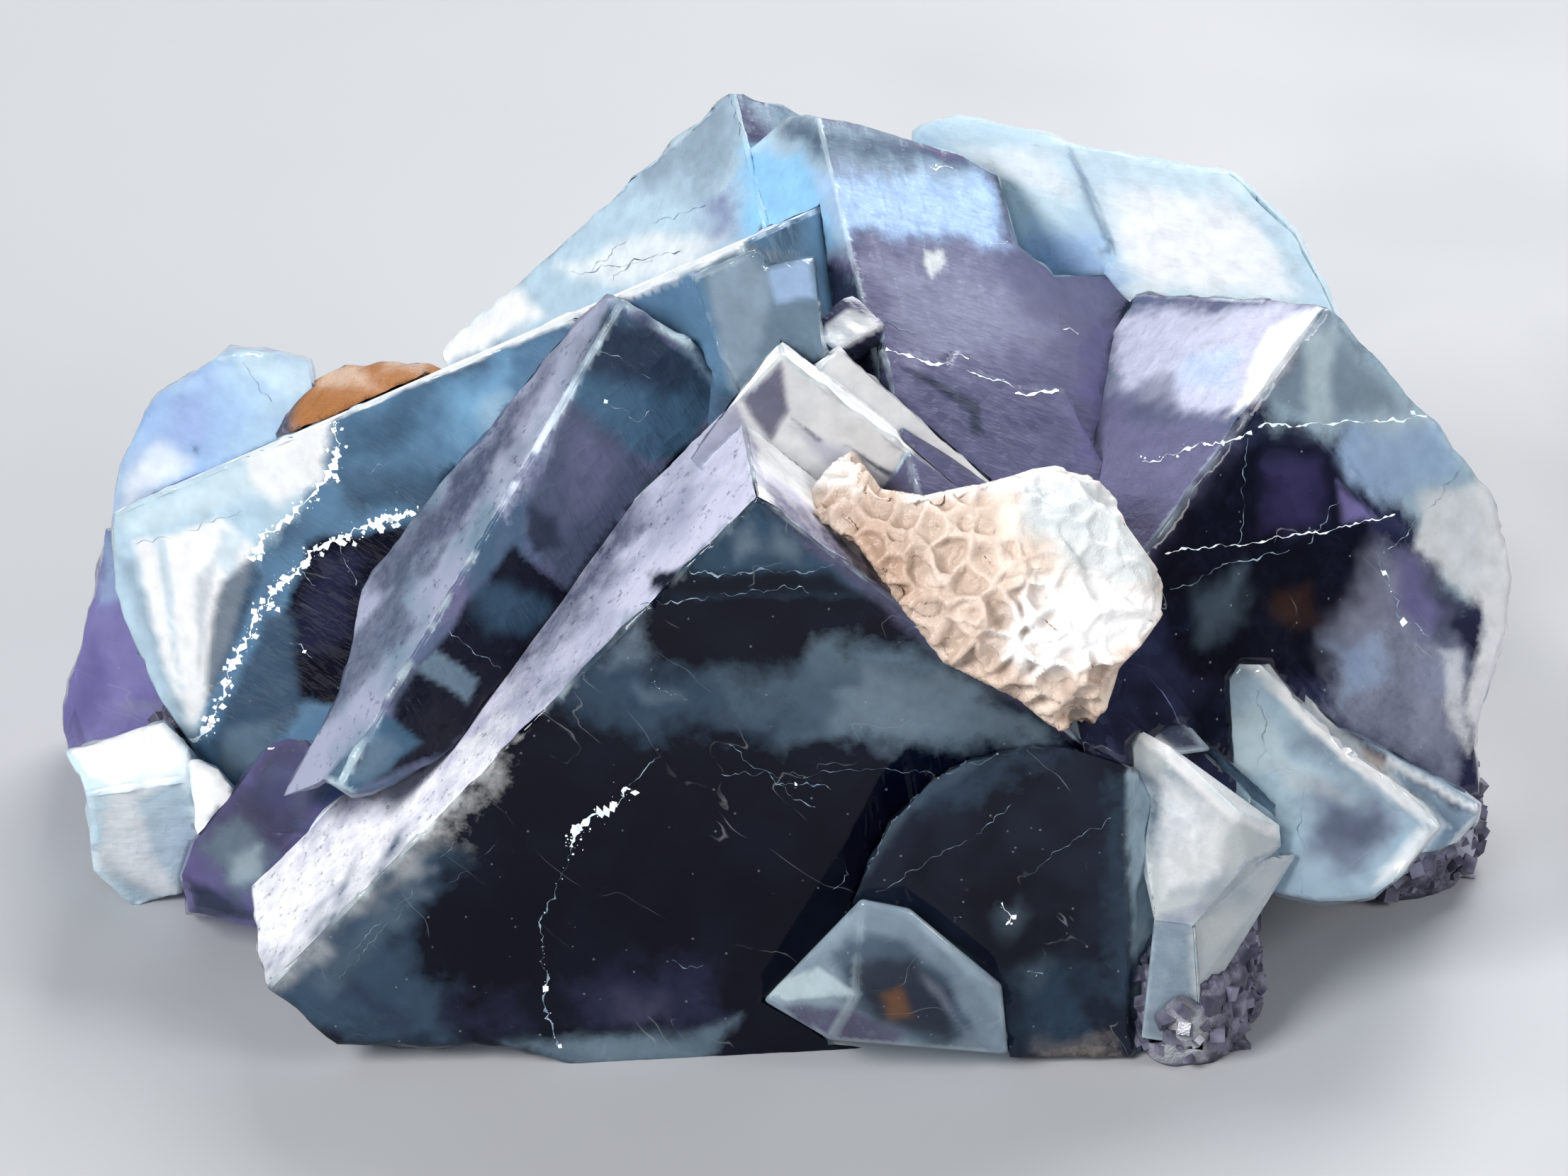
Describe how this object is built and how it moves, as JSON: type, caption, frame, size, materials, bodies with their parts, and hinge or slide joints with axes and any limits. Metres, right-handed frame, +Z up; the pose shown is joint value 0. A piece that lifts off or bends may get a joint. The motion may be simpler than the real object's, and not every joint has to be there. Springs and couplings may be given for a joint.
{
  "type": "mineral specimen",
  "caption": "Cluster of intergrown clear fluorite cubes in blue, lilac and near-black, with etched calcite on the front cube, on rough dark matrix; rests on its flat cut base",
  "frame": {"origin": "middle of the bounding box in plan, on the cut base", "axes": "+X along the cluster to the show side's right, +Y to the back, +Z up"},
  "size_m": [0.0964, 0.0584, 0.0501],
  "materials": {
    "front_crystal": "clear, near-black with teal haze, frosted lilac on its upper side",
    "front_right_crystal": "clear, near-black teal",
    "low_front_crystal": "clear teal",
    "middle_crystal": "etched, dark teal front and frosted lilac side",
    "left_crystal": "clear teal blue, pale at its left end",
    "rear_crystal": "etched, blue to brown-purple",
    "rear_right_crystal": "etched, mint white",
    "right_crystal": "clear, dark purple and navy with white veils",
    "right_low_crystal": "clear, pale grey teal",
    "left_rear_crystal": "clear, pale periwinkle",
    "left_purple_crystal": "clear purple",
    "left_low_crystal": "etched, pale aqua white",
    "left_small_crystal": "clear, violet to blue-grey",
    "pale_blades": "milky grey white",
    "calcite": "etched calcite, beige to white, slightly translucent",
    "matrix": "rough dark purple rock with small cubes"
  },
  "bodies": {
    "root": {"front_crystal": "front_crystal", "front_right_crystal": "front_right_crystal", "low_front_crystal": "low_front_crystal", "middle_crystal": "middle_crystal", "left_crystal": "left_crystal", "rear_crystal": "rear_crystal", "rear_right_crystal": "rear_right_crystal", "right_crystal": "right_crystal", "right_low_crystal": "right_low_crystal", "left_rear_crystal": "left_rear_crystal", "left_purple_crystal": "left_purple_crystal", "left_low_crystal": "left_low_crystal", "left_small_crystal": "left_small_crystal", "pale_blades": "pale_blades", "calcite": "calcite", "matrix": "matrix"}
  },
  "joints": []
}
